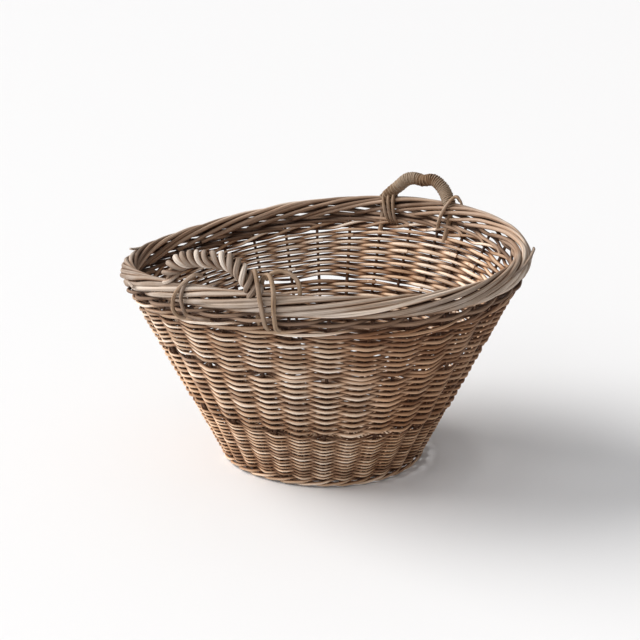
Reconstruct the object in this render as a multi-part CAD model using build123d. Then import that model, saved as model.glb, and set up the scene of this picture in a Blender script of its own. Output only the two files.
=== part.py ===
from build123d import *
import math
import os

# Round willow laundry basket with a plaited border and two fixed bow handles.
# Origin: centre of the bottom, on the floor. +Z up, handles on the X axis.
# The front handle stands at +X and is roped with willow, the rear one at -X is
# wrapped in twine. All sizes are millimetres.

# ---- driving dimensions ----
RIM_X = 281.0            # centre line of the border, towards the handles
RIM_Y = 310.0            # centre line of the border, across
RIM_Z = 320.0            # mean height of that centre line
RIM_SADDLE = 11.5        # the rim stands higher at the handles than at the sides
RIM_LEAN_X = -13.5       # and leans a little, as a hand-made rim does
RIM_LEAN_Y = 14.5
ROUNDNESS = 2.1          # 2 is an ellipse, more is squarer
BASE_X = 154.0           # outer face of the wall on the floor
BASE_Y = 158.0

STAKE_COUNT = 32
STAKE_R = 3.0
WALL_T = 14.0            # woven wall: one stake with a rod passing on each side
WALE_T = 18.0            # waling is thicker than the siding
PLAY = 0.15              # clearance of a rod in the weave that grips it

BASE_WALE_TOP = 16.0     # heights of the woven bands up the wall
LOWER_TOP = 100.0
MIDDLE_BOTTOM = 107.0
MIDDLE_TOP = 205.0
UPPER_BOTTOM = 211.0
UPPER_TOP_BELOW_RIM = 47.0
WALE_BOTTOM_BELOW_RIM = 41.0
WALE_TOP_BELOW_RIM = 29.0
GAP_SLOPE = -6.0         # the lower gap row runs downhill across the basket

BORDER_HALF_W = 13.0
BORDER_HALF_H = 22.0
BORDER_SIDES = 10

FLOOR_T = 13.0           # woven bottom
FLOOR_INSET = 16.4       # the base wale runs round it
FLOOR_STICK_R = 2.8
FLOOR_STICKS = 4         # of each crossing set
STICK_PITCH = 7.5        # side by side at the middle of the bottom
CROSS_Z = 3.4            # one set crosses under the other
LONG_Z = 9.6

FRONT_HALF_SPAN = 72.0   # where the legs of the bows enter the border
REAR_HALF_SPAN = 68.0
FRONT_RISE = 42.0        # crown of the bow's centre line above the border
REAR_RISE = 37.0
BOW_R = 4.3
BOW_BENDS = [20, 26, 120, 26, 20]
BOW_DEPTH = 66.0         # how far each leg is pushed down from the border's top
ROPE_R = 3.7             # three rods roped round the front bow
ROPE_COUNT = 3
ROPE_LEAD = 38.0
ROPE_POINTS = 8          # per turn
TWINE_R = 10.5           # outside of the twine wrap on the rear bow
LASH_R = 2.3             # cane that lashes the bows down
LASHINGS = {             # loops as side, y at the top, y at the bottom, rise above the border
    "front_left_lashing": [(1, -46.0, -49.4, 60.0), (1, -58.0, -61.5, 50.0)],
    "front_right_lashing": [(1, 86.0, 97.0, 24.0), (1, 92.0, 103.0, 22.0)],
    "rear_left_lashing": [(-1, -50.0, -48.8, 53.0), (-1, -84.0, -76.4, 6.0)],
    "rear_right_lashing": [(-1, 78.0, 47.4, 20.0)],
}
LOOSE_R = 2.6            # loose cane ends that arch back into the weave


def outline(half_x, half_y, t):
    """Point of the basket's plan shape at angle t."""
    power = 2.0 / ROUNDNESS
    c, s = math.cos(t), math.sin(t)
    x = half_x * math.copysign(abs(c) ** power, c)
    y = half_y * math.copysign(abs(s) ** power, s)
    return Vector(x, y, 0)


def rim_height(t):
    return RIM_Z + RIM_SADDLE * math.cos(2 * t) + RIM_LEAN_X * math.cos(t) + RIM_LEAN_Y * math.sin(t)


def rim_centre(t):
    return outline(RIM_X, RIM_Y, t) + Vector(0, 0, rim_height(t))


def outward(t):
    """Level direction in which the wall leans outwards."""
    return (outline(RIM_X, RIM_Y, t) - outline(BASE_X, BASE_Y, t)).normalized()


def wall_point(t, z, inset=0.0):
    """Point of the wall at height z, inset from its outer face."""
    foot = outline(BASE_X, BASE_Y, t)
    share = z / (rim_height(t) - BORDER_HALF_H)
    level = foot + (outline(RIM_X, RIM_Y, t) - foot) * share - outward(t) * inset
    return Vector(level.X, level.Y, z)


def angle_at_y(y, side):
    """Angle of the rim point at the given y, on the side +1 or -1 of X."""
    sine = math.copysign((abs(y) / RIM_Y) ** (ROUNDNESS / 2), y)
    t = math.asin(sine)
    return t if side > 0 else math.pi - t


def stake_angles():
    """Angles that share the rim out in equal lengths, the first at +X."""
    fine = 4000
    steps = [i * 2 * math.pi / fine for i in range(fine + 1)]
    points = [outline(RIM_X, RIM_Y, t) for t in steps]
    run = [0.0]
    for a, b in zip(points, points[1:]):
        run.append(run[-1] + (b - a).length)
    angles = []
    i = 0
    for k in range(STAKE_COUNT):
        while run[i] < run[-1] * k / STAKE_COUNT - 1e-6:
            i += 1
        angles.append(steps[i])
    return angles


ANGLES = stake_angles()
QUARTER = STAKE_COUNT // 4


def ring(section):
    """Closed ring through one section wire at each stake, made as two halves."""
    turn = 2 * math.pi
    circle = ANGLES + [t + turn for t in ANGLES]
    first = circle[QUARTER:3 * QUARTER + 1]
    second = circle[3 * QUARTER:5 * QUARTER + 1]
    halves = [Solid.make_loft([section(t) for t in half]) for half in (first, second)]
    return halves[0].fuse(halves[1])


def band(bottom, top, thickness):
    """Woven band between two heights, each a function of the angle."""
    proud = (thickness - WALL_T) / 2

    def section(t):
        corners = [
            wall_point(t, bottom(t), -proud),
            wall_point(t, top(t), -proud),
            wall_point(t, top(t), WALL_T + proud),
            wall_point(t, bottom(t), WALL_T + proud),
        ]
        return Wire.make_polygon(corners, close=True)

    return ring(section)


def level(z, rim_share=0.0, slope=0.0):
    """Height line round the wall that follows part of the rim's rise and fall."""
    return lambda t: z + rim_share * (rim_height(t) - RIM_Z) + slope * math.sin(t)


def below_rim(drop):
    return lambda t: rim_height(t) - drop


def border_section(t):
    """Rounded section of the plaited border, flat-sided like its stacked rods."""
    corners = []
    for i in range(BORDER_SIDES):
        turn = 2 * math.pi * i / BORDER_SIDES
        across = outward(t) * (BORDER_HALF_W * math.cos(turn) / math.cos(math.pi / BORDER_SIDES))
        up = Vector(0, 0, BORDER_HALF_H * math.sin(turn) / math.cos(math.pi / BORDER_SIDES))
        corners.append(rim_centre(t) + across + up)
    return Wire.make_polygon(corners, close=True)


def rod(start, end, radius):
    axis = end - start
    return Solid.make_cylinder(radius, axis.length, Plane(origin=start, z_dir=axis.normalized()))


def stake(t, radius=STAKE_R):
    return rod(wall_point(t, 3.0, WALL_T / 2),
               wall_point(t, rim_height(t) - BORDER_HALF_H + 9.0, WALL_T / 2), radius)


def bent_rod(points, bends, radius):
    """Round rod along straight runs joined by arcs."""
    path = FilletPolyline(*points, radius=bends)
    start = Plane(origin=path @ 0, z_dir=path % 0)
    return sweep(start * Circle(radius), path=path).solid()


def bow_points(side, half_span, rise):
    """Centre line of a bow from one leg's tip to the other's."""
    crown_x = side * (RIM_X - 4.0)
    top = rim_height(0 if side > 0 else math.pi) + BORDER_HALF_H
    points = []
    for hand in (-1, 1):
        t = angle_at_y(hand * half_span, side)
        tip = wall_point(t, rim_height(t) + BORDER_HALF_H - BOW_DEPTH, WALL_T / 2)
        neck = rim_centre(t) + Vector(0, 0, BORDER_HALF_H * 0.6)
        shoulder = Vector(crown_x, hand * half_span * 0.60, top + rise)
        points.append([tip, neck, shoulder])
    dip = Vector(crown_x, 0, top + rise - 2.0)
    return points[0] + [dip] + points[1][::-1]


def bow(points, radius):
    return bent_rod(points, BOW_BENDS, radius)


def clear_part(crown, lift):
    """First and last place along a bow that stand higher than lift."""
    places = [i / 400 for i in range(401)]
    clear = [u for u in places if (crown @ u).Z > lift]
    return clear[0], clear[-1]


def roping(points, phase, lift):
    """One rod wound round the bow from leg to leg."""
    crown = FilletPolyline(*points, radius=BOW_BENDS)
    first, last = clear_part(crown, lift)
    count = round(crown.length * (last - first) / ROPE_LEAD * ROPE_POINTS)
    reach = (BOW_R + ROPE_R + 0.4) / math.cos(math.pi / ROPE_POINTS)
    corners = []
    for i in range(count + 1):
        u = first + (last - first) * i / count
        forward = crown % u
        sideways = (Vector(1, 0, 0) - forward * forward.X).normalized()
        other = forward.cross(sideways)
        turn = phase + 2 * math.pi * i / ROPE_POINTS
        swing = sideways * math.cos(turn) + other * math.sin(turn)
        corners.append(crown @ u + swing * reach)
    return bent_rod(corners, 5.0, ROPE_R)


def twine_wrap(points, lift):
    """Sleeve of closely wound twine over the bow, open where the bow passes."""
    crown = FilletPolyline(*points, radius=BOW_BENDS)
    first, last = clear_part(crown, lift)
    count = 14
    stops = [first + (last - first) * i / count for i in range(count + 1)]
    sections = []
    for u in stops:
        plane = Plane(origin=crown @ u, x_dir=(1, 0, 0), z_dir=crown % u)
        sections.append(Wire.make_circle(TWINE_R, plane))
    return Solid.make_loft(sections).cut(bow(points, BOW_R + PLAY)).solid()


def lashing(side, top_y, bottom_y, rise):
    """Cane loop from above the border, beside a leg of the bow, to under the border."""
    low = rim_centre(angle_at_y(bottom_y, side)) - Vector(0, 0, BORDER_HALF_H + LASH_R + 0.7)
    high = rim_centre(angle_at_y(top_y, side)) + Vector(0, 0, BORDER_HALF_H + rise)
    half = Vector(BORDER_HALF_W + LASH_R + 2.8, 0, 0)
    path = FilletPolyline(low - half, low + half, high + half, high - half,
                          radius=half.X * 0.7, close=True)
    start = Plane(origin=path @ 0, z_dir=path % 0)
    return sweep(start * Circle(LASH_R), path=path).solid()


def floor_sticks(z):
    """Sticks that lie side by side at the middle and fan out to the edge."""
    sticks = []
    reach = BASE_X - FLOOR_INSET - 4.0
    middle = (FLOOR_STICKS - 1) / 2
    for i in range(FLOOR_STICKS):
        offset = (i - middle) * STICK_PITCH
        fan = (i - middle) * math.pi / 2 / FLOOR_STICKS
        near = STICK_PITCH * 3.5
        points = [
            (-reach * math.cos(fan), reach * math.sin(fan), z),
            (-near, offset, z),
            (near, offset, z),
            (reach * math.cos(fan), reach * math.sin(fan), z),
        ]
        sticks.append(bent_rod(points, 12.0, FLOOR_STICK_R))
    return sticks


def save(name, solids):
    solids = list(solids)
    shape = solids[0] if len(solids) == 1 else Compound(children=solids)
    shape.label = name
    export_step(shape, os.path.join("parts", name + ".step"))
    print(name, len(solids), "solids", round(sum(s.volume for s in solids)), "mm3")


def cut_all(body, tools):
    result = body.cut(*tools)
    return result.solids() if hasattr(result, "solids") else [result]


os.makedirs("parts", exist_ok=True)

stakes = [stake(t) for t in ANGLES]
front_points = bow_points(1, FRONT_HALF_SPAN, FRONT_RISE)
rear_points = bow_points(-1, REAR_HALF_SPAN, REAR_RISE)
front_bow = bow(front_points, BOW_R)
rear_bow = bow(rear_points, BOW_R)
sockets = [stake(t, STAKE_R + PLAY) for t in ANGLES]
sockets += [bow(front_points, BOW_R + PLAY), bow(rear_points, BOW_R + PLAY)]

save("stakes", stakes)
save("front_bow", [front_bow])
save("rear_bow", [rear_bow])

floor_outline = [outline(BASE_X - FLOOR_INSET, BASE_Y - FLOOR_INSET, t) for t in ANGLES]
floor_disc = extrude(make_face(Spline(*floor_outline, periodic=True)), FLOOR_T).solid()
long_sticks = floor_sticks(LONG_Z)
cross_sticks = [stick.rotate(Axis.Z, 90) for stick in floor_sticks(CROSS_Z)]
save("floor_weave", cut_all(floor_disc, long_sticks + cross_sticks))
save("long_floor_sticks", long_sticks)
save("cross_floor_sticks", cross_sticks)

bands = {
    "base_wale": band(level(0.0), level(BASE_WALE_TOP), WALE_T),
    "lower_siding": band(level(BASE_WALE_TOP + 0.3), level(LOWER_TOP, 0.0, GAP_SLOPE), WALL_T),
    "middle_siding": band(level(MIDDLE_BOTTOM, 0.0, GAP_SLOPE), level(MIDDLE_TOP, 0.4), WALL_T),
    "upper_siding": band(level(UPPER_BOTTOM, 0.4), below_rim(UPPER_TOP_BELOW_RIM), WALL_T),
    "top_wale": band(below_rim(WALE_BOTTOM_BELOW_RIM), below_rim(WALE_TOP_BELOW_RIM), WALE_T),
    "border": ring(border_section),
}
for name, body in bands.items():
    save(name, cut_all(body, sockets))

front_top = rim_height(0.0) + BORDER_HALF_H
rear_top = rim_height(math.pi) + BORDER_HALF_H
phases = [2 * math.pi * i / ROPE_COUNT for i in range(ROPE_COUNT)]
save("front_roping", [roping(front_points, phase, front_top + ROPE_R + 4.0) for phase in phases])
save("rear_twine_wrap", [twine_wrap(rear_points, rear_top + 8.0)])
for name, loops in LASHINGS.items():
    save(name, [lashing(*loop) for loop in loops])

front_cane_end = [
    (246.5, 62.0, front_top - 6.0),
    (249.0, 68.0, front_top + 16.0),
    (248.0, 90.0, front_top + 16.0),
    (243.0, 99.0, front_top - 4.0),
    (240.0, 101.0, front_top - 36.0),
]
save("front_cane_end", [bent_rod(front_cane_end, 9.0, LOOSE_R)])
rear_cane_end = [
    (-276.0, 80.0, rear_top + 2.9),
    (-277.0, 83.0, rear_top + 14.0),
    (-281.0, 95.0, rear_top + 14.0),
    (-287.0, 98.0, rear_top - 2.0),
    (-288.5, 98.5, rear_top - 24.0),
]
save("rear_cane_end", [bent_rod(rear_cane_end, 4.0, LOOSE_R)])
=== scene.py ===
# %% [markdown]
# # A willow laundry basket, rod by rod
# A woven basket looks real only when its rods really pass in front of and behind
# the stakes. So nothing here is a texture of weaving: every rod is a tube that
# follows its own path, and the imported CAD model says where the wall, the border
# and the handles are.

# %% Load the frame
import math

import bpy
import numpy as np
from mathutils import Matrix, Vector


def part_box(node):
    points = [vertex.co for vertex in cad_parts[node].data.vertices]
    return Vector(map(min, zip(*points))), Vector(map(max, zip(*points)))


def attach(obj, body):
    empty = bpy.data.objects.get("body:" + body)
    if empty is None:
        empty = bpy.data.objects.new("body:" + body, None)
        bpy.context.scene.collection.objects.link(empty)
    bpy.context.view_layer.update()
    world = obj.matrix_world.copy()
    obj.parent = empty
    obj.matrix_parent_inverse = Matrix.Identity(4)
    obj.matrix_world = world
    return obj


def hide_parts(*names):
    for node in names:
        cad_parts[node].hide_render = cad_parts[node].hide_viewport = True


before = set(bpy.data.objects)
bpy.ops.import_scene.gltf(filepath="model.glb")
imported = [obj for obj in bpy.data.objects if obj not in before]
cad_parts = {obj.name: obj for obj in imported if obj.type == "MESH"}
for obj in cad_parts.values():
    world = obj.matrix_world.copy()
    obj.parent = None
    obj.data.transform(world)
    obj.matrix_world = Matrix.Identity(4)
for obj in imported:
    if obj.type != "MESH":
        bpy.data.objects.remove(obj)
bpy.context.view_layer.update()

bpy.ops.object.select_all(action="DESELECT")
rng = np.random.default_rng(7)

# %% [markdown]
# ## The shape of the wall
# The basket is nearly round, a little squarer than an ellipse, and its wall leans
# outwards in a straight line from the floor to the border. The rim isn't level: a
# basket maker works by eye, so it rises at the handles and leans to one side.
# These few functions are the mould that all the rods are bent round.

# %% Sizes of the basket
STAKES = 32
ROUNDNESS = 2.1
WALL = 0.014
BORDER_W = 0.013
BORDER_H = 0.022
BORDER_CORNER = BORDER_W / math.cos(math.pi / 10)  # the CAD border has ten flat sides
FLOOR_INSET = 0.0164
MEAN_RIM = 0.320
SADDLE = 0.0115
LEAN_TO_REAR = 0.0135
LEAN_TO_SIDE = 0.0145
rim_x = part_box("border")[1].x - BORDER_CORNER
rim_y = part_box("border")[1].y - BORDER_CORNER
base_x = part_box("floor_weave")[1].x + FLOOR_INSET
base_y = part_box("floor_weave")[1].y + FLOOR_INSET
print("rim", round(rim_x, 4), round(rim_y, 4), "base", round(base_x, 4), round(base_y, 4))


def outline(half_x, half_y, t):
    """Points of the plan shape at the angles t."""
    c, s = np.cos(t), np.sin(t)
    x = half_x * np.sign(c) * np.abs(c) ** (2 / ROUNDNESS)
    y = half_y * np.sign(s) * np.abs(s) ** (2 / ROUNDNESS)
    return np.stack([x, y, np.zeros_like(x)], -1)


def rim_height(t):
    """Height of the middle of the border."""
    lean = LEAN_TO_SIDE * np.sin(t) - LEAN_TO_REAR * np.cos(t)
    return MEAN_RIM + SADDLE * np.cos(2 * t) + lean


def unit(v):
    """The same directions, one unit long."""
    return v / np.maximum(np.linalg.norm(v, axis=-1, keepdims=True), 1e-12)


def outward(t):
    """Level directions out of the wall."""
    return unit(outline(rim_x, rim_y, t) - outline(base_x, base_y, t))


def wall_middle(t, z):
    """Points half-way through the wall's thickness."""
    share = (z / (rim_height(t) - BORDER_H))[..., None]
    foot = outline(base_x, base_y, t)
    level = foot + (outline(rim_x, rim_y, t) - foot) * share - outward(t) * WALL / 2
    level[..., 2] = z
    return level


def wall_normal(t, z):
    """Directions that point squarely out of the wall, so a little downwards too."""
    along = wall_middle(t + 0.001, z) - wall_middle(t - 0.001, z)
    up = wall_middle(t, z + 0.001) - wall_middle(t, z - 0.001)
    return unit(np.cross(along, up))


# %% [markdown]
# The stakes share the rim out in equal lengths. Counting along the rim in stake
# spaces, from 0 to 32, is handier than using angles, because a weaver counts the
# same way: in front of one, behind one.

# %% Count round the basket in stake spaces
fine = np.linspace(0, 2 * math.pi, 4001)
rim_line = outline(rim_x, rim_y, fine)
run = np.concatenate([[0], np.cumsum(np.linalg.norm(np.diff(rim_line, axis=0), axis=1))])
stake_angle = np.interp(np.arange(STAKES) / STAKES * run[-1], run, fine)
space_length = run[-1] / STAKES
print("stake space at the rim", round(space_length * 1000, 1), "mm")


def angle(s):
    """The angle at s stake spaces round the rim."""
    turns = np.floor(s / STAKES)
    knots = np.append(stake_angle, 2 * math.pi)
    return np.interp(s - turns * STAKES, np.arange(STAKES + 1), knots) + turns * 2 * math.pi


# %% [markdown]
# ## From a path to a rod
# A Blender curve with a bevel is a tube along a path, and each point's radius
# thins it, as a willow rod thins from butt to tip. All the rods of one piece are
# splines of one curve, which is converted to a mesh at the end. The conversion
# also lays a UV map along each tube, which the bark will follow.

# %% Tubes along paths
def make_rods(name, paths, thickness, resolution=2):
    """A mesh of round rods. Each path is (points, radius at each point)."""
    curve = bpy.data.curves.new(name, "CURVE")
    curve.dimensions = "3D"
    curve.bevel_depth = thickness
    curve.bevel_resolution = resolution
    curve.use_fill_caps = True
    for points, radii in paths:
        spline = curve.splines.new("POLY")
        spline.points.add(len(points) - 1)
        rows = np.concatenate([points, np.ones((len(points), 1))], axis=1)
        spline.points.foreach_set("co", rows.astype(np.float32).ravel())
        spline.points.foreach_set("radius", (np.asarray(radii) / thickness).astype(np.float32))
    piece = bpy.data.objects.new(name, curve)
    bpy.context.scene.collection.objects.link(piece)
    return finish_mesh(piece)


def finish_mesh(piece):
    """Turn the curve into a closed, smooth mesh."""
    bpy.ops.object.select_all(action="DESELECT")
    bpy.context.view_layer.objects.active = piece
    piece.select_set(True)
    bpy.ops.object.convert(target="MESH")
    bpy.ops.object.mode_set(mode="EDIT")
    bpy.ops.mesh.select_all(action="SELECT")
    bpy.ops.mesh.remove_doubles(threshold=0.00002)
    bpy.ops.mesh.normals_make_consistent(inside=False)
    bpy.ops.object.mode_set(mode="OBJECT")
    bpy.ops.object.shade_smooth_by_angle(angle=math.radians(50))
    piece = bpy.context.view_layer.objects.active
    piece.select_set(False)
    triangles = sum(len(p.vertices) - 2 for p in piece.data.polygons)
    print(piece.name, triangles, "triangles")
    return piece


# %% [markdown]
# Hand-made lines are never quite straight. Two helpers bend them: one draws a
# smooth line through a few knots, the other wanders gently round the basket.

# %% Smooth and wandering lines
def smooth_through(knots, count):
    """A smooth line through the knots, with count points."""
    knots = np.asarray(knots, float)
    padded = np.concatenate([[2 * knots[0] - knots[1]], knots, [2 * knots[-1] - knots[-2]]])
    u = np.linspace(0, len(knots) - 1, count)
    i = np.minimum(u.astype(int), len(knots) - 2)
    f = (u - i)[:, None]
    a, b, c, d = padded[i], padded[i + 1], padded[i + 2], padded[i + 3]
    bend = (2 * a - 5 * b + 4 * c - d) * f ** 2 + (3 * b - a - 3 * c + d) * f ** 3
    return 0.5 * (2 * b + (c - a) * f + bend)


def new_wander(count=5):
    """How often each wave goes up and down in a round, where it starts, and its share."""
    turns = rng.integers(2, 9, count)
    return turns, rng.uniform(0, 2 * math.pi, count), rng.uniform(0.2, 0.6, count)


def wave(s, wander, size):
    """The wander added up at each place s."""
    total = np.zeros_like(s)
    for turn, phase, share in zip(*wander):
        total += share * np.sin(2 * math.pi * turn * s / STAKES + phase)
    return total * size


# %% [markdown]
# Where a rod stands proud it keeps its bleached colour, and where it is tucked
# behind its neighbours it is darkened with painted shade, for the crevices that
# the light does not reach. How proud each point stands is measured from the middle
# of the wall and kept on the mesh as an attribute, for the willow material to read.

# %% Measure how far a point stands out of the wall
def vertex_values(piece, what):
    """The co or the normal of every vertex."""
    flat = np.empty(len(piece.data.vertices) * 3, np.float32)
    piece.data.vertices.foreach_get(what, flat)
    return flat.reshape(-1, 3).astype(float)


def smoothstep(low, high, value):
    """0 below low, 1 above high, and an S-shaped rise between."""
    f = np.clip((value - low) / (high - low), 0, 1)
    return f * f * (3 - 2 * f)


def angle_at(points, half_x, half_y):
    """The angle t of an outline of that size through each point."""
    x, y = points[:, 0] / half_x, points[:, 1] / half_y
    power = ROUNDNESS / 2
    return np.arctan2(np.sign(y) * np.abs(y) ** power, np.sign(x) * np.abs(x) ** power)


def depth_in_wall(points):
    """Distance outwards from the middle of the wall."""
    t = angle_at(points, rim_x, rim_y)
    z = points[:, 2]
    for _ in range(3):
        share = z / (rim_height(t) - BORDER_H)
        grown = points + outward(t) * WALL / 2
        t = angle_at(grown, base_x + (rim_x - base_x) * share, base_y + (rim_y - base_y) * share)
    return np.sum((points - wall_middle(t, z)) * wall_normal(t, z), axis=1)


# %% [markdown]
# On the wall a face is proud if it looks away from the middle of the wall, and
# tucked if it looks at it; tucked faces get painted shade. The outside of the side
# towards positive y gets more painted shade, for the side turned from the light.

# %% Keep the painted shade and wear on the mesh
def keep_wear_and_shade(piece, values):
    """Store one value for each vertex, from 0 (tucked, full painted shade) to 1 (proud, no shade).
    """
    layer = piece.data.attributes.new("wear_and_shade", "FLOAT", "POINT")
    layer.data.foreach_set("value", np.asarray(values, np.float32))
    print(piece.name, "exposed on average", round(float(np.mean(values)), 2))


def shade_and_wear_wall(piece, low=-0.0010, high=0.0052):
    """Tucked below low and proud above high, both measured from the wall's middle."""
    points = vertex_values(piece, "co")
    out = unit(points * [1, 1, 0] - [0, 0, 0.08])
    facing = np.sum(vertex_values(piece, "normal") * out, axis=1)
    # Painted shade on tucked faces.
    proud = smoothstep(low, high, depth_in_wall(points) * facing)
    # More painted shade on the outside of the side towards positive y.
    painted_shade_plus_y_side = smoothstep(0.13, 0.24, points[:, 1]) * smoothstep(-0.1, 0.4, facing)
    keep_wear_and_shade(piece, proud * (1 - 0.5 * painted_shade_plus_y_side))


def even_shade_and_wear(piece, value=1.0):
    """The same level of painted shade and wear all over."""
    keep_wear_and_shade(piece, np.full(len(piece.data.vertices), value))


# %% [markdown]
# ## Stakes
# The stakes are the uprights that everything else is woven round. Each is pushed
# into the edge of the bottom, kinked up where the wall begins, leans out with it
# and ends inside the border. They show between the weavers and in the gap rows.

# %% Stakes
STAKE_R = 0.003
FLOOR_MIDDLE = 0.0065
WALL_FOOT = 0.014
INTO_BORDER = 0.009


def stake_path(k):
    t = angle(np.array([float(k)]))
    in_floor = []
    for inset, rise in ((0.040, 0), (0.025, 0), (0.011, 0), (0.003, 0.001)):
        spot = wall_middle(t, np.array([FLOOR_MIDDLE]))[0] - outward(t)[0] * inset
        in_floor.append([spot[0], spot[1], FLOOR_MIDDLE + rise])
    z = np.linspace(WALL_FOOT, rim_height(t)[0] - BORDER_H + INTO_BORDER, 25)
    drift = rng.uniform(-0.02, 0.02) + rng.uniform(-0.03, 0.03) * np.sin(z * 14 + rng.uniform(0, 6))
    wall = wall_middle(angle(k + drift * np.minimum(z / 0.05, 1)), z)
    points = np.concatenate([smooth_through(in_floor + [wall[0]], 14)[:-1], wall])
    return points, STAKE_R * rng.uniform(0.9, 1.1) * np.linspace(1.05, 0.88, len(points))


stakes = make_rods("stakes", [stake_path(k) for k in range(STAKES)], STAKE_R)
# The stakes are darkened all over, most of the way to the tucked colour.
even_shade_and_wear(stakes, 0.15)

# %% [markdown]
# ## Randing
# The wall is randed: each rod passes in front of one stake and behind the next,
# and the row above does the opposite. A rod is straight between stakes and bends
# at each, so the wave is a rounded triangle, pushed out along the wall's normal.
# Rods are shorter than a whole round, so each row has two, which start thick, end
# thin, and have their ends left on the inside.

# %% One weaver's path
STEPS = 10
TAIL = 0.16


def in_and_out(beat, sharp=0.94):
    """A cosine made straighter between its turns: +1 in front of a stake, -1 behind it."""
    return np.arcsin(sharp * beat) / math.asin(sharp)


def weaver(first, spaces, odd, height, wander, r, amplitude):
    """A rod from stake first over a number of spaces, with a short tail at each end."""
    s = np.linspace(first - TAIL, first + spaces + TAIL, spaces * STEPS + 5)
    t = angle(s)
    along = np.linspace(0, 1, len(s))
    radii = r * (1.12 - 0.3 * along) * rng.uniform(0.93, 1.07)
    radii *= 1 + 0.05 * np.sin(s * rng.uniform(1.5, 2.5) + rng.uniform(0, 6))
    z = height(t) + wave(s, wander, 0.0006) + 0.0003 * np.sin(s * 2.7 + rng.uniform(0, 6))
    offset = amplitude * in_and_out(np.cos(math.pi * (s + odd)))
    ends = np.clip(1 - np.minimum(s - s[0], s[-1] - s) / 0.5, 0, 1)
    offset -= ends * r * 0.8
    points = wall_middle(t, z) + wall_normal(t, z) * offset[:, None]
    return points, radii


# %% [markdown]
# A band is filled row by row between two height lines. Where the band is lower the
# rods are thinner too, as a maker picks finer rods to keep the rows tight.

# %% Rows of randing
def siding(name, bottom, top, rows, r):
    """Rows between two lines, each a function that gives the height at an angle."""
    paths = []
    usual = np.mean(top(stake_angle) - bottom(stake_angle))
    shared = new_wander()
    amplitude = STAKE_R + r + 0.0004
    for row in range(rows):
        share = (row + 0.5) / rows
        height = lambda t, share=share: bottom(t) + (top(t) - bottom(t)) * share
        odd = row % 2
        begin = 2 * int(rng.integers(0, STAKES // 2)) + 1 - odd
        split = 2 * int(rng.integers(6, 10))
        for first, spaces in ((begin, split), (begin + split, STAKES - split)):
            points, radii = weaver(first, spaces, odd, height, shared, r, amplitude)
            t = angle_at(points, rim_x, rim_y)
            paths.append((points, radii * (top(t) - bottom(t)) / usual))
    return make_rods(name, paths, r)


# %% [markdown]
# The three bands differ: fine rods at the foot, where the stakes stand close
# together, thicker ones in the middle and medium ones at the top. Between the
# bands a gap row is left, where the stakes show.

# %% Height lines of the bands
ROLL_FOOT = 0.006


def foot_top(t):
    return np.full_like(t, 0.0163)


def lower_top(t):
    return 0.100 - 0.006 * np.sin(t)


def middle_bottom(t):
    return 0.106 - 0.006 * np.sin(t)


def middle_top(t):
    """This gap row climbs towards the back."""
    climb = 0.4 * (rim_height(t) - MEAN_RIM) + 0.004 * (1 - np.cos(t - 0.6))
    return 0.2055 + climb


def upper_bottom(t):
    """The gap opens wider in a few places."""
    opening = np.clip(np.sin(7 * t + 1) * np.sin(4 * t), 0, 1)
    return middle_top(t) + 0.0022 + 0.0052 * opening


def foot_height(t, up):
    """Heights under the roll of the border, pushed closer together at the back."""
    return rim_height(t) - ROLL_FOOT + (up + ROLL_FOOT) * (0.84 + 0.16 * np.cos(t - 0.6))


def wale_middle(t):
    return foot_height(t, -0.035)


def upper_top(t):
    return wale_middle(t) - 0.0078


# %% The three bands of siding
lower = siding("lower_siding", foot_top, lower_top, 27, 0.00188)
middle = siding("middle_siding", middle_bottom, middle_top, 21, 0.0028)
upper = siding("upper_siding", upper_bottom, upper_top, 16, 0.0027)
for band in (lower, middle, upper):
    shade_and_wear_wall(band)

# %% [markdown]
# ## Waling
# Waling is stronger than randing: three rods travel together, each in front of two
# stakes and behind one, and each rises over the others as it goes, so the outside
# looks like a rope. It locks the stakes at the foot and just under the border.

# %% Wale rounds
def soften(values, width):
    """A running average, so that a path has no corners."""
    kernel = np.hanning(width + 2)[1:-1]
    padded = np.pad(values, width // 2, mode="edge")
    return np.convolve(padded, kernel / kernel.sum(), mode="valid")[:len(values)]


def wale_rod(start, height, lift, r, amplitude):
    """One of three rods: it comes out low, shows over two stakes, and goes in high."""
    s = np.linspace(start, start + STAKES + 1.4, (STAKES + 1) * 14)
    t = angle(s)
    place = (s - start) % 3
    offset = np.interp(place, [0, 0.55, 1, 2, 2.45, 3], [-1, 0, 1, 1, 0, -1])
    rise = np.interp(place, [0, 0.5, 2.5, 3], [0, -0.5, 0.5, 0])
    z = height(t) + lift * soften(rise, 9)
    radii = r * (1.06 - 0.12 * np.linspace(0, 1, len(s))) * rng.uniform(0.95, 1.05)
    points = wall_middle(t, z) + wall_normal(t, z) * (amplitude * soften(offset, 9))[:, None]
    return points, radii


def wale(name, height, lift, r):
    """Three rods that start one stake apart."""
    start = float(rng.integers(12, 20))
    amplitude = STAKE_R + r * 0.95
    paths = [wale_rod(start + j, height, lift, r, amplitude) for j in range(3)]
    return make_rods(name, paths, r)


def base_middle(t):
    return np.full_like(t, 0.0084)


base_wale = wale("base_wale", base_middle, 0.0094, 0.0025)
top_wale = wale("top_wale", wale_middle, 0.0108, 0.0028)
shade_and_wear_wall(base_wale)
shade_and_wear_wall(top_wale, -0.001, 0.0045)

# %% [markdown]
# ## The border
# To finish the rim every stake is bent over to the right. It passes behind its
# neighbour, shows in front of the next one, ducks behind again, and then lies
# along the outside, climbs slowly over the top and down the inside. Each leaves
# from its own stake, so at any place half a dozen lie side by side in a roll, and
# two rows of dark slots run under it where the rods come through. The path is
# given in the border's own section: along, outwards and upwards.

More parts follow.
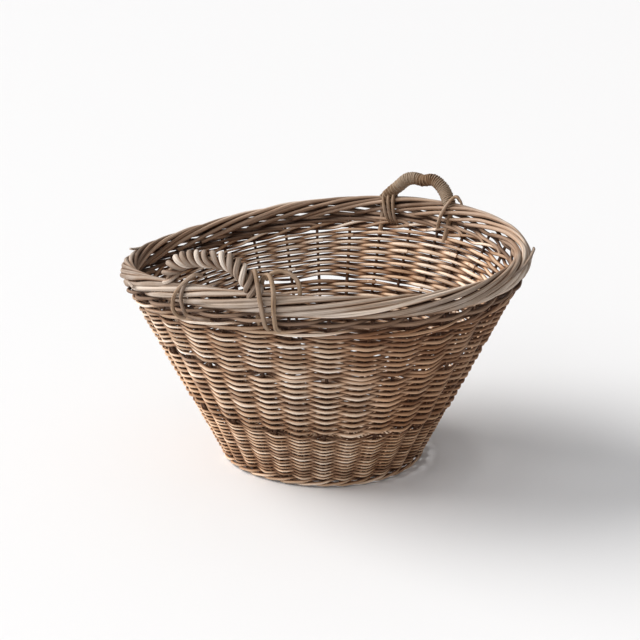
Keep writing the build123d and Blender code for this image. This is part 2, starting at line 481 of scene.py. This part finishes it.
# %% The way of a border rod
BORDER_WAY = np.array([
    # stake spaces along, outwards (mm), upwards (mm)
    [0.00, -11.5, -32.0],
    [0.30, -9.5, -25.0],
    [1.00, -11.0, -21.0],
    [1.50, -3.0, -20.5],
    [2.00, 4.5, -19.5],
    [2.55, 1.0, -15.5],
    [3.05, -6.0, -10.5],
    [3.60, 1.5, -6.5],
    [4.20, 9.4, -2.0],
    [5.10, 9.9, 5.0],
    [6.00, 7.8, 12.0],
    [6.90, 3.0, 17.2],
    [7.80, -3.2, 17.6],
    [8.70, -8.0, 12.8],
    [9.60, -9.6, 5.6],
    [10.40, -8.4, -2.0],
    [11.00, -4.5, -9.0],
])


def border_point(s, out, up):
    """From a place in the border's section to a point in space."""
    t = angle(s)
    place = outline(rim_x, rim_y, t) + outward(t) * out[:, None]
    place[:, 2] = np.where(up < -ROLL_FOOT, foot_height(t, up), rim_height(t) + up)
    return place


# %% [markdown]
# No two rods are alike, so each way is shifted a little. A few tips have sprung
# loose and stick out of the roll.

# %% Border rods and stray tips
BORDER_R = 0.0039
THINNING = ([0, 1.4, 3, 4.5, 11], [0.8, 0.74, 0.78, 1.05, 0.84])


def border_rod(k):
    way = BORDER_WAY.copy()
    way[5:, 1:] += rng.normal(0, 0.55, (len(way) - 5, 2))
    way[6:, 0] *= rng.uniform(0.96, 1.03)
    way = smooth_through(way, 150)
    radii = BORDER_R * rng.uniform(0.9, 1.08) * np.interp(way[:, 0], *THINNING)
    radii = radii * (1 + 0.04 * np.sin(way[:, 0] * 4 + rng.uniform(0, 6)))
    return border_point(k + way[:, 0], way[:, 1] / 1000, way[:, 2] / 1000), radii


STRAY_TIPS = [
    # places of each tip: stake spaces along, outwards (mm), upwards (mm)
    [(9.3, 9, 3), (9.9, 11.5, 4), (10.5, 16, 4), (11.0, 23, 3)],
    [(8.2, 8, 11), (8.9, 11, 13), (9.6, 14, 16), (10.1, 18, 20)],
    [(10.6, 9, -4), (11.2, 12, -5), (11.8, 17, -7)],
    [(24.6, 1, 16), (25.3, 2, 19), (25.8, 4, 23), (26.1, 6, 27)],
    [(28.2, 9, 2), (28.8, 13, 3), (29.3, 18, 2)],
]


def stray_tip(places):
    way = smooth_through(places, 30)
    radii = np.linspace(0.0030, 0.0019, 30)
    return border_point(way[:, 0], way[:, 1] / 1000, way[:, 2] / 1000), radii


border_paths = [border_rod(k) for k in range(STAKES)]
border_paths += [stray_tip(places) for places in STRAY_TIPS]
border = make_rods("border", border_paths, BORDER_R, resolution=3)


# %% [markdown]
# The roll keeps its bleached colour where its rods are outermost. Between its rods
# and on its side that looks into the basket it is darkened with painted shade, and
# the tucked rods under the roll get deeper painted shade.

# %% Painted shade and wear on the border
def shade_and_wear_border(piece):
    points = vertex_values(piece, "co")
    t = angle_at(points, rim_x, rim_y)
    level_out = outward(t)
    out = np.sum((points - outline(rim_x, rim_y, t)) * level_out, axis=1)
    up = points[:, 2] - rim_height(t)
    facing = np.sum(vertex_values(piece, "normal") * level_out, axis=1)
    # Painted shade between the rods of the roll; the outermost keep their colour.
    roll = smoothstep(0.62, 0.98, np.hypot(out / 0.0125, (up - 0.007) / 0.0150))
    # Painted shade on the side of the roll that looks into the basket.
    roll *= 1 - 0.30 * smoothstep(-0.002, 0.008, -out)
    # Painted shade under the roll.
    foot = smoothstep(-0.0015, 0.0060, (out + 0.003) * facing) * 0.45
    keep_wear_and_shade(piece, roll + (foot - roll) * smoothstep(0.0, 0.006, -0.004 - up))


shade_and_wear_border(border)

# %% [markdown]
# ## Bows
# Each handle is a stout stick bent to a bow, its legs pushed down beside a stake.
# The path runs through a few points: deep in the wall, at the border, at the
# shoulder and at the crown.

# %% Bow paths
def rim_spot(y, side, out, up):
    """A point near the border: y across, out from and up from its centre line."""
    sine = math.copysign((abs(y) / rim_y) ** (ROUNDNESS / 2), y)
    t = np.array([math.asin(sine) if side > 0 else math.pi - math.asin(sine)])
    spot = outline(rim_x, rim_y, t)[0] + outward(t)[0] * out
    spot[1] = y
    spot[2] = rim_height(t)[0] + up
    return spot


def border_top(side):
    """Height of the border's top in the middle of the front (1) or of the rear (-1)."""
    return rim_height(np.array([0.0 if side > 0 else math.pi]))[0] + BORDER_H


def bow_path(side, arch):
    """Up a leg, over the arch and down the other leg. The arch is (y, height) in mm."""
    legs = []
    for y in (arch[0][0] / 1000, arch[-1][0] / 1000):
        legs.append([
            rim_spot(y * 0.96, side, -0.019, -0.044),
            rim_spot(y * 0.99, side, -0.007, -0.014),
            rim_spot(y, side, -0.003, 0.012),
        ])
    x, top = side * (rim_x - 0.004), border_top(side)
    middle = [np.array([x, y / 1000, top + h / 1000]) for y, h in arch[1:-1]]
    return smooth_through(legs[0] + middle + legs[1][::-1], 260)


BOW_R = 0.0043
FRONT_ARCH = [(-92, 0), (-78, 12), (-56, 29), (-34, 36), (-5, 38), (24, 38.5),
              (44, 30), (58, 18), (69, 0)]
REAR_ARCH = [(-56, 0), (-44, 3), (-29, 15), (-11, 30), (6, 33.5), (21, 31.5),
             (38, 35), (51, 29), (63, 16), (77, 0)]
front_path = bow_path(1, FRONT_ARCH)
rear_path = bow_path(-1, REAR_ARCH)
bow_radii = np.full(len(front_path), BOW_R)
front_bow = make_rods("front_bow", [(front_path, bow_radii)], BOW_R, resolution=3)
rear_bow = make_rods("rear_bow", [(rear_path, bow_radii)], BOW_R, resolution=3)


# %% [markdown]
# ## Winding round a bow
# A winding is a helix carried along the bow. At each step the bow has a forward
# direction. Two directions square to it are worked out from the basket's front to
# back axis, and the helix turns in the plane of those two.

# %% Helix along a path
def square_directions(points):
    """Two directions square to the path and to each other, at each point."""
    forward = unit(np.gradient(points, axis=0))
    side = unit(np.cross(forward, np.array([1.0, 0, 0])))
    return side, unit(np.cross(forward, side))


def resample(points, count):
    """The same path with count points evenly spaced along it."""
    length = np.concatenate([[0], np.cumsum(np.linalg.norm(np.diff(points, axis=0), axis=1))])
    even = np.linspace(0, length[-1], count)
    return np.stack([np.interp(even, length, points[:, i]) for i in range(3)], 1)


def over_border(path, side, drop):
    """The part of a bow that is higher than the border's top less drop."""
    return path[path[:, 2] > border_top(side) - drop]


def winding(points, turns, phase, reach, steps_per_turn, pace=None):
    """A helix round points; pace slows or hastens the turning along the way."""
    count = int(turns * steps_per_turn) + 1
    line = resample(points, count)
    side, other = square_directions(line)
    done = np.linspace(0, 1, count)
    if pace is not None:
        speed = np.interp(done, *pace)
        done = np.cumsum(speed)
        done = (done - done[0]) / (done[-1] - done[0])
    a = phase + done * turns * 2 * math.pi
    reach = np.broadcast_to(reach, (count,))[:, None]
    return line + (side * np.cos(a)[:, None] + other * np.sin(a)[:, None]) * reach


# %% [markdown]
# ## The front handle, roped
# Three rods are wound round the front bow side by side, from one foot to the
# other. They are thick and stiff, so the rope is knobbly: at the left foot they
# fan out and lie flatter, and near the crown they run almost straight for a while.

# %% Front roping
ROPE_R = 0.0047
ROPE_TURNS = 4.9
ROPE_STEPS = 24
ROPE_PACE = ([0, 0.14, 0.28, 0.47, 0.52, 0.60, 1], [0.6, 0.8, 1.15, 1.0, 0.55, 1.05, 1.1])
front_part = over_border(front_path, 1, 0.006)
along = np.linspace(0, 1, int(ROPE_TURNS * ROPE_STEPS) + 1)
rope_paths = []
for j in range(3):
    reach = BOW_R + ROPE_R * 0.93 + 0.0012 * np.sin(along * 31 + j * 2) ** 2
    phase = 2 * math.pi * j / 3 + 0.4
    line = winding(front_part, ROPE_TURNS, phase, reach, ROPE_STEPS, ROPE_PACE)
    knobbly = 0.94 + 0.10 * np.sin(along * 17 + j * 2.3)
    rope_paths.append((line, ROPE_R * knobbly * np.interp(along, [0, 0.2], [0.8, 1])))
front_roping = make_rods("front_roping", rope_paths, ROPE_R, resolution=4)


def shade_and_wear_winding(piece, path, inner, outer):
    """Turns keep their colour on their outside and get painted shade where they touch."""
    points = vertex_values(piece, "co")
    apart = points[:, None, :] - path[None, ::4, :]
    gap = np.min(np.linalg.norm(apart, axis=2), axis=1)
    keep_wear_and_shade(piece, smoothstep(inner, outer, gap))


shade_and_wear_winding(front_roping, front_path, 0.0078, 0.0128)

# %% [markdown]
# ## The rear handle, bound with twine
# The rear bow was mended: it is bound from leg to leg with twine, turn beside
# turn. The winding swells a little on each side of the middle.

# %% Rear twine
TWINE_R = 0.00175
TWINE_TURNS = 55
TWINE_STEPS = 14
rear_part = over_border(rear_path, -1, 0.010)
along = np.linspace(0, 1, TWINE_TURNS * TWINE_STEPS + 1)
swell = 0.0086 + 0.0010 * np.sin(2 * math.pi * along - 0.5) ** 2 + 0.0003 * np.sin(along * 170)
twine_line = winding(rear_part, TWINE_TURNS, 0.0, swell, TWINE_STEPS)
twine_line += rng.normal(0, 0.00012, twine_line.shape)
twine_radii = np.full(len(twine_line), TWINE_R)
rear_twine = make_rods("rear_twine_wrap", [(twine_line, twine_radii)], TWINE_R)
shade_and_wear_winding(rear_twine, rear_path, 0.0090, 0.0110)


# %% [markdown]
# ## Lashings
# Cane ties each leg down: it comes up from the inside, goes over the border beside
# the leg, runs down the outside and tucks in under the border, where its end is
# hidden.

# %% Lashing loops
def loop(side, knots, r, drift=0.0):
    """A cane through knots of (y across in m, out and up from the border in mm)."""
    points = [rim_spot(y, side, out / 1000, up / 1000) for y, out, up in knots]
    line = smooth_through(points, 90)
    return line, r * (1 + 0.05 * np.sin(np.linspace(0, 12, 90) + drift))


RIGHT_R = 0.0034
front_right = make_rods("front_right_lashing", [
    loop(1, [(0.056, -12, 34), (0.064, -4, 50), (0.073, 6, 50), (0.080, 13, 36),
             (0.086, 17.5, 14), (0.090, 18, -6), (0.0915, 15, -21), (0.091, 6, -29)], RIGHT_R),
    loop(1, [(0.066, -16, 24), (0.076, -10, 42), (0.088, -1, 47), (0.098, 9, 41),
             (0.1035, 15, 26), (0.105, 18, 4), (0.106, 17.5, -12), (0.106, 14, -24),
             (0.106, 5, -30)], RIGHT_R, drift=2),
], RIGHT_R, resolution=3)
LEFT_R = 0.0028
front_left = make_rods("front_left_lashing", [
    loop(1, [(-0.026, -8, 34), (-0.034, 2, 36), (-0.048, 11, 24), (-0.0605, 16.5, 8),
             (-0.0645, 18, -6), (-0.0640, 16.5, -18), (-0.058, 10, -27),
             (-0.052, 2, -29)], LEFT_R),
    loop(1, [(-0.038, -6, 32), (-0.044, 4, 28), (-0.0475, 13, 16), (-0.047, 18, 3),
             (-0.0435, 18, -10), (-0.038, 16.5, -20), (-0.026, 15, -23), (-0.011, 13, -24),
             (-0.002, 7, -26)], LEFT_R, drift=1),
], LEFT_R, resolution=3)

# %% [markdown]
# The rear lashings pull aslant. The left one is three canes side by side, which
# come together under the border.

# %% Rear lashings and loose cane ends
REAR_R = 0.0029
rear_left = make_rods("rear_left_lashing", [
    loop(-1, [(-0.057 + k * 0.0090, 10, 12), (-0.055 + k * 0.0095, 3, 27),
              (-0.0535 + k * 0.0095, -6, 27), (-0.050 + k * 0.0090, -14, 14),
              (-0.045 + k * 0.0080, -17.5, -2), (-0.041 + k * 0.0070, -16, -15),
              (-0.038 + k * 0.0060, -8, -24)], REAR_R, drift=k)
    for k in range(3)], REAR_R, resolution=3)
rear_right = make_rods("rear_right_lashing", [
    loop(-1, [(0.090, 10, 24), (0.0875, 2, 32), (0.083, -6, 30), (0.075, -13.5, 18),
              (0.067, -17.5, 3), (0.061, -17.5, -13), (0.058, -12, -25),
              (0.057, -3, -28)], REAR_R)], REAR_R, resolution=3)
FRONT_END_R = 0.0032
front_cane = make_rods("front_cane_end", [
    loop(1, [(0.078, -12, 38), (0.088, -11, 48), (0.097, -14, 51), (0.106, -16, 49),
             (0.117, -16, 43), (0.1235, -14, 34), (0.126, -12, 20),
             (0.126, -11, 4)], FRONT_END_R)], FRONT_END_R, resolution=3)
REAR_END_R = 0.0022
rear_cane = make_rods("rear_cane_end", [
    loop(-1, [(0.080, -2, 27), (0.087, -3, 33), (0.0945, -2, 31), (0.099, 0, 23),
              (0.0985, 3, 12), (0.097, 5, 6)], REAR_END_R)], REAR_END_R)

# %% [markdown]
# ## The bottom
# The bottom starts as a cross of sticks. They are tied where they cross, opened
# out like spokes, and woven round from the middle to the edge.

# %% Floor sticks
floor_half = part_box("floor_weave")[1].x
FLOOR_STICK_R = 0.0028
PITCH = 0.0075


def floor_stick(i, turned):
    """Stick i of 4, or the same stick of the set that crosses under it."""
    fan = (i - 1.5) * math.pi / 8
    z = FLOOR_MIDDLE + (-0.0029 if turned else 0.0029)
    reach = floor_half + 0.001
    knots = []
    for hand in (-1, 1):
        far, half = [[hand * length * math.cos(fan), length * math.sin(fan), FLOOR_MIDDLE]
                     for length in (reach, 0.070)]
        knots.append([far, half, [hand * 0.022, (i - 1.5) * PITCH, z]])
    points = smooth_through(knots[0] + knots[1][::-1], 60)
    if turned:
        points = points[:, [1, 0, 2]] * np.array([-1, 1, 1])
    return points, np.full(60, FLOOR_STICK_R)


long_sticks, cross_sticks = [
    make_rods(name, [floor_stick(i, turned) for i in range(4)], FLOOR_STICK_R, resolution=3)
    for name, turned in (("long_floor_sticks", False), ("cross_floor_sticks", True))]

# %% [markdown]
# Eight sticks opened out give sixteen spokes. Each round of the weave goes over one
# spoke and under the next, and the round outside it does the opposite.

# %% Floor weaving
SPOKES = 16
FLOOR_ROD_R = 0.0017
FLOOR_ROUND = 0.0036


def floor_round(radius, odd):
    """One ring of the weave, which is stretched a little to fit the bottom."""
    a = np.linspace(0, 2 * math.pi, SPOKES * 10 + 1) + rng.uniform(0, 6)
    beat = np.cos(SPOKES / 2 * (a - math.pi / 16) + math.pi * odd)
    z = FLOOR_MIDDLE + (FLOOR_STICK_R + FLOOR_ROD_R * 0.95) * in_and_out(beat, 0.93)
    spread = 1 + (base_y / base_x - 1) * min(1.0, radius / floor_half)
    points = np.stack([radius * np.cos(a), radius * spread * np.sin(a), z], 1)
    return points, np.full(len(a), FLOOR_ROD_R * rng.uniform(0.92, 1.06))


rounds = np.arange(0.034, floor_half + 0.0035, FLOOR_ROUND)
floor_paths = [floor_round(radius, row % 2) for row, radius in enumerate(rounds)]
floor_weave = make_rods("floor_weave", floor_paths, FLOOR_ROD_R, resolution=1)
# Painted shade: the weave is darkened near the middle of the bottom's thickness, where rods and
# spokes cross.
off_middle = np.abs(vertex_values(floor_weave, "co")[:, 2] - FLOOR_MIDDLE)
keep_wear_and_shade(floor_weave, smoothstep(0.0015, 0.0045, off_middle))

# %% [markdown]
# ## Willow
# Bark streaks run along the rod, so the material reads the UV map that each tube
# got from its curve. A group holds the streaks, because every willow material here
# needs them at its own scale.

# %% Nodes that do sums and make noise
def connect(tree, value, entry):
    """Link a socket to an entry, or set the entry to a number or a colour."""
    if hasattr(value, "is_output"):
        tree.links.new(value, entry)
    elif isinstance(value, tuple):
        entry.default_value = (*value, 1)
    else:
        entry.default_value = value


def calculate(tree, operation, *values):
    node = tree.nodes.new("ShaderNodeMath")
    node.operation = operation
    for value, entry in zip(values, node.inputs):
        connect(tree, value, entry)
    return node.outputs[0]


def noise(tree, place, scale, detail):
    node = tree.nodes.new("ShaderNodeTexNoise")
    node.inputs["Scale"].default_value = scale
    node.inputs["Detail"].default_value = detail
    tree.links.new(place, node.inputs["Vector"])
    return node.outputs["Fac"]


# %% [markdown]
# Round the rod the pattern reads the sine of the UV map, so that it closes where
# the map has its seam. Each rod is one island, and a different random number for
# each gives it its own tone and its own streaks. Blotches and regions are larger
# than a rod, so they read the object's own coordinates.

# %% Bark group
def make_bark_group():
    group = bpy.data.node_groups.new("bark", "ShaderNodeTree")
    for way, names in (("INPUT", ("Around", "Along")),
                       ("OUTPUT", ("Tone", "Streaks", "Blotches", "Regions", "Shade_and_wear"))):
        for name in names:
            group.interface.new_socket(name=name, in_out=way, socket_type="NodeSocketFloat")
    given = group.nodes.new("NodeGroupInput").outputs
    result = group.nodes.new("NodeGroupOutput").inputs
    place = group.nodes.new("ShaderNodeTexCoord").outputs
    tone = group.nodes.new("ShaderNodeNewGeometry").outputs["Random Per Island"]
    on_rod = group.nodes.new("ShaderNodeSeparateXYZ")
    group.links.new(place["UV"], on_rod.inputs[0])
    turn = calculate(group, "MULTIPLY", on_rod.outputs["X"], 2 * math.pi)
    ring = calculate(group, "SINE", turn)
    spot = group.nodes.new("ShaderNodeCombineXYZ")
    for axis, value, scale in (("X", ring, given["Around"]),
                               ("Y", on_rod.outputs["Y"], given["Along"]),
                               ("Z", tone, 97.0)):
        connect(group, calculate(group, "MULTIPLY", value, scale), spot.inputs[axis])
    wear_and_shade = group.nodes.new("ShaderNodeAttribute")
    wear_and_shade.attribute_name = "wear_and_shade"
    connect(group, tone, result["Tone"])
    connect(group, noise(group, spot.outputs[0], 1.0, 5.0), result["Streaks"])
    connect(group, noise(group, place["Object"], 26.0, 3.0), result["Blotches"])
    connect(group, noise(group, place["Object"], 5.0, 2.0), result["Regions"])
    connect(group, wear_and_shade.outputs["Fac"], result["Shade_and_wear"])
    return group


bark = make_bark_group()

# %% [markdown]
# ## The willow material
# The colour is built up in layers: the rod's own tone, warmer in some regions,
# darker and lighter streaks, bleached blotches, and last painted shade, which goes
# from dark brown where the rod is tucked to the full colour where it is proud.

# %% Ramps and mixes
def ramp(tree, share, stops):
    """Turn a value into a colour. The stops are (place, colour)."""
    node = tree.nodes.new("ShaderNodeValToRGB")
    band = node.color_ramp
    while len(band.elements) < len(stops):
        band.elements.new(0.5)
    for element, (place, colour) in zip(band.elements, stops):
        element.position = place
        element.color = (*colour, 1)
    tree.links.new(share, node.inputs[0])
    return node.outputs[0]


def blend(tree, kind, a, b, share=1.0):
    """A colour mix; share is a number or a socket."""
    node = tree.nodes.new("ShaderNodeMix")
    node.data_type = "RGBA"
    node.blend_type = kind
    colours = [entry for entry in node.inputs if entry.type == "RGBA"]
    for value, entry in zip((share, a, b), [node.inputs[0]] + colours):
        connect(tree, value, entry)
    return [way_out for way_out in node.outputs if way_out.type == "RGBA"][0]


# %% [markdown]
# One function makes every kind of willow, cane and twine. The longer the streaks
# should be, the smaller is the number given for along.

# %% Willow
def grey(value):
    return (value, value, value)


def willow(name, tones, around, along, warm=0.5, tucked_shade=(0.15, 0.082, 0.048),
           rough=(0.55, 0.85), bump=0.3):
    material = bpy.data.materials.new(name)
    material.use_nodes = True
    tree = material.node_tree
    shader = tree.nodes["Principled BSDF"]
    grain = tree.nodes.new("ShaderNodeGroup")
    grain.node_tree = bark
    grain.inputs["Around"].default_value = around
    grain.inputs["Along"].default_value = along
    look = grain.outputs
    region = ramp(tree, look["Regions"], [(0.42, grey(0)), (0.62, grey(warm))])
    streak = ramp(tree, look["Streaks"], [
        (0.34, (0.42, 0.34, 0.28)), (0.52, (0.95, 0.93, 0.90)), (0.70, (1.22, 1.2, 1.18))])
    patch = ramp(tree, look["Blotches"], [(0.44, grey(0)), (0.68, grey(0.75))])
    # Painted shade: tucked places are darkened towards the tucked colour, proud ones keep their
    # colour.
    shade_and_wear_tint = ramp(tree, look["Shade_and_wear"], [(0.0, tucked_shade), (0.65, (0.75, 0.60, 0.49)), (1.0, grey(1))])
    colour = ramp(tree, look["Tone"], tones)
    colour = blend(tree, "MULTIPLY", colour, (1.0, 0.80, 0.58), region)
    colour = blend(tree, "MULTIPLY", colour, streak, 0.85)
    colour = blend(tree, "SCREEN", colour, (0.13, 0.125, 0.12), patch)
    colour = blend(tree, "MULTIPLY", colour, shade_and_wear_tint)
    tree.links.new(colour, shader.inputs["Base Color"])
    shine = tree.nodes.new("ShaderNodeMapRange")
    shine.inputs["To Min"].default_value = rough[0]
    shine.inputs["To Max"].default_value = rough[1]
    tree.links.new(look["Streaks"], shine.inputs["Value"])
    tree.links.new(shine.outputs[0], shader.inputs["Roughness"])
    shader.inputs["Specular IOR Level"].default_value = 0.35
    lift = tree.nodes.new("ShaderNodeBump")
    lift.inputs["Strength"].default_value = bump
    lift.inputs["Distance"].default_value = 0.0006
    tree.links.new(look["Streaks"], lift.inputs["Height"])
    tree.links.new(lift.outputs[0], shader.inputs["Normal"])
    return material


# %% [markdown]
# Wall rods, border rods, peeled sticks, cane and twine differ in tone, in how long
# their streaks are, and in how rough they feel.

# %% Five materials
siding_willow = willow("siding_willow", [
    (0.00, (0.370, 0.235, 0.145)),
    (0.30, (0.640, 0.470, 0.335)),
    (0.65, (0.860, 0.700, 0.555)),
    (1.00, (0.980, 0.880, 0.780)),
], 1.2, 34)
border_willow = willow("border_willow", [
    (0.00, (0.250, 0.180, 0.132)),
    (0.50, (0.420, 0.338, 0.275)),
    (1.00, (0.740, 0.655, 0.580)),
], 1.6, 16, warm=0.25)
stick_willow = willow("stick_willow", [
    (0.00, (0.200, 0.115, 0.065)),
    (1.00, (0.380, 0.250, 0.150)),
], 1.2, 12)
cane = willow("cane", [
    (0.00, (0.190, 0.115, 0.068)),
    (1.00, (0.360, 0.245, 0.155)),
], 1.0, 10, rough=(0.4, 0.7))
twine = willow("twine", [
    (0.00, (0.270, 0.205, 0.140)),
    (1.00, (0.330, 0.255, 0.180)),
], 6.0, 600, tucked_shade=(0.10, 0.075, 0.05), rough=(0.8, 0.95), bump=0.5)

# %% [markdown]
# Every piece takes the place of one CAD node and rides on the basket's only body.

# %% Give every piece its material, body and node
pieces = [
    (stakes, "stakes", stick_willow, "willow"),
    (lower, "lower_siding", siding_willow, "willow"),
    (middle, "middle_siding", siding_willow, "willow"),
    (upper, "upper_siding", siding_willow, "willow"),
    (base_wale, "base_wale", siding_willow, "willow"),
    (top_wale, "top_wale", siding_willow, "willow"),
    (floor_weave, "floor_weave", siding_willow, "willow"),
    (long_sticks, "long_floor_sticks", stick_willow, "willow_stick"),
    (cross_sticks, "cross_floor_sticks", stick_willow, "willow_stick"),
    (border, "border", border_willow, "border_willow"),
    (front_bow, "front_bow", stick_willow, "willow_stick"),
    (rear_bow, "rear_bow", stick_willow, "willow_stick"),
    (front_roping, "front_roping", border_willow, "border_willow"),
    (rear_twine, "rear_twine_wrap", twine, "twine"),
    (front_left, "front_left_lashing", cane, "cane"),
    (front_right, "front_right_lashing", cane, "cane"),
    (rear_left, "rear_left_lashing", cane, "cane"),
    (rear_right, "rear_right_lashing", cane, "cane"),
    (front_cane, "front_cane_end", cane, "cane"),
    (rear_cane, "rear_cane_end", cane, "cane"),
]
for piece, node, material, slot in pieces:
    if "wear_and_shade" not in piece.data.attributes:
        even_shade_and_wear(piece)
    piece.name = node + "_rods"
    piece.data.materials.clear()
    piece.data.materials.append(material)
    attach(piece, "root")
    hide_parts(node)
print(len(pieces), "pieces")

# %% [markdown]
# ## Floor, light and camera
# The basket stands on a wide pale floor in a bright, soft room.

# %% Floor
bpy.ops.mesh.primitive_plane_add(size=60, location=(0, 0, -0.0005))
floor = bpy.context.object
floor.name = "studio_floor"
pale = bpy.data.materials.new("studio_white")
pale.use_nodes = True
paint = pale.node_tree.nodes["Principled BSDF"].inputs
paint["Base Color"].default_value = (0.83, 0.83, 0.84, 1)
paint["Roughness"].default_value = 0.7
floor.data.materials.append(pale)

# %% [markdown]
# The room itself gives most of the light. It is brightest above and to the left and
# fades to the far right, so its strength follows the direction looked in.

# %% The room
world = bpy.data.worlds.new("room")
bpy.context.scene.world = world
world.use_nodes = True
room = world.node_tree
lean = room.nodes.new("ShaderNodeVectorMath")
lean.operation = "DOT_PRODUCT"
lean.inputs[1].default_value = (0.38, -0.72, 0.58)
room.links.new(room.nodes.new("ShaderNodeTexCoord").outputs["Generated"], lean.inputs[0])
shade = room.nodes.new("ShaderNodeMapRange")
for name, value in (("From Min", -1.0), ("From Max", 1.0), ("To Min", 0.08), ("To Max", 0.62)):
    shade.inputs[name].default_value = value
room.links.new(lean.outputs["Value"], shade.inputs["Value"])
sky = room.nodes["Background"].inputs
sky["Color"].default_value = (0.985, 0.99, 1.0, 1)
room.links.new(shade.outputs[0], sky["Strength"])


# %% [markdown]
# Two soft windows give the light a direction: a strong one on the left and a weaker
# one in front. A sun lamp with a wide angle acts as a window that is far away.

# %% Windows
def towards(azimuth, elevation):
    """The direction at these angles, in degrees."""
    a, e = math.radians(azimuth), math.radians(elevation)
    return Vector((math.cos(e) * math.cos(a), math.cos(e) * math.sin(a), math.sin(e)))


def window_light(name, azimuth, elevation, strength, softness, colour):
    light = bpy.data.lights.new(name, "SUN")
    light.energy = strength
    light.angle = math.radians(softness)
    light.color = colour
    lamp = bpy.data.objects.new(name, light)
    bpy.context.scene.collection.objects.link(lamp)
    lamp.location = towards(azimuth, elevation) * 3
    lamp.rotation_euler = lamp.location.to_track_quat("Z", "Y").to_euler()
    print(name, "at", [round(v, 2) for v in lamp.location])


window_light("window", -70, 36, 3.5, 46, (1.0, 0.985, 0.96))
window_light("second_window", -12, 24, 0.8, 60, (1.0, 0.99, 0.98))

# %% [markdown]
# The camera looks slightly down at the basket, with the roped handle in front on
# the left. A long lens from over two metres away keeps the rim's shape true.

# %% Camera
DISTANCE = 2.335
target = Vector((0.0017, -0.0047, 0.2188))
away = towards(33.5, 17.1)
camera_data = bpy.data.cameras.new("camera")
camera_data.lens = 82.8
camera_data.sensor_width = 36
camera = bpy.data.objects.new("camera", camera_data)
bpy.context.scene.collection.objects.link(camera)
camera.location = target + away * DISTANCE
camera.rotation_euler = (-away).to_track_quat("-Z", "Y").to_euler()
bpy.context.scene.camera = camera
bpy.context.scene.view_settings.view_transform = "Standard"
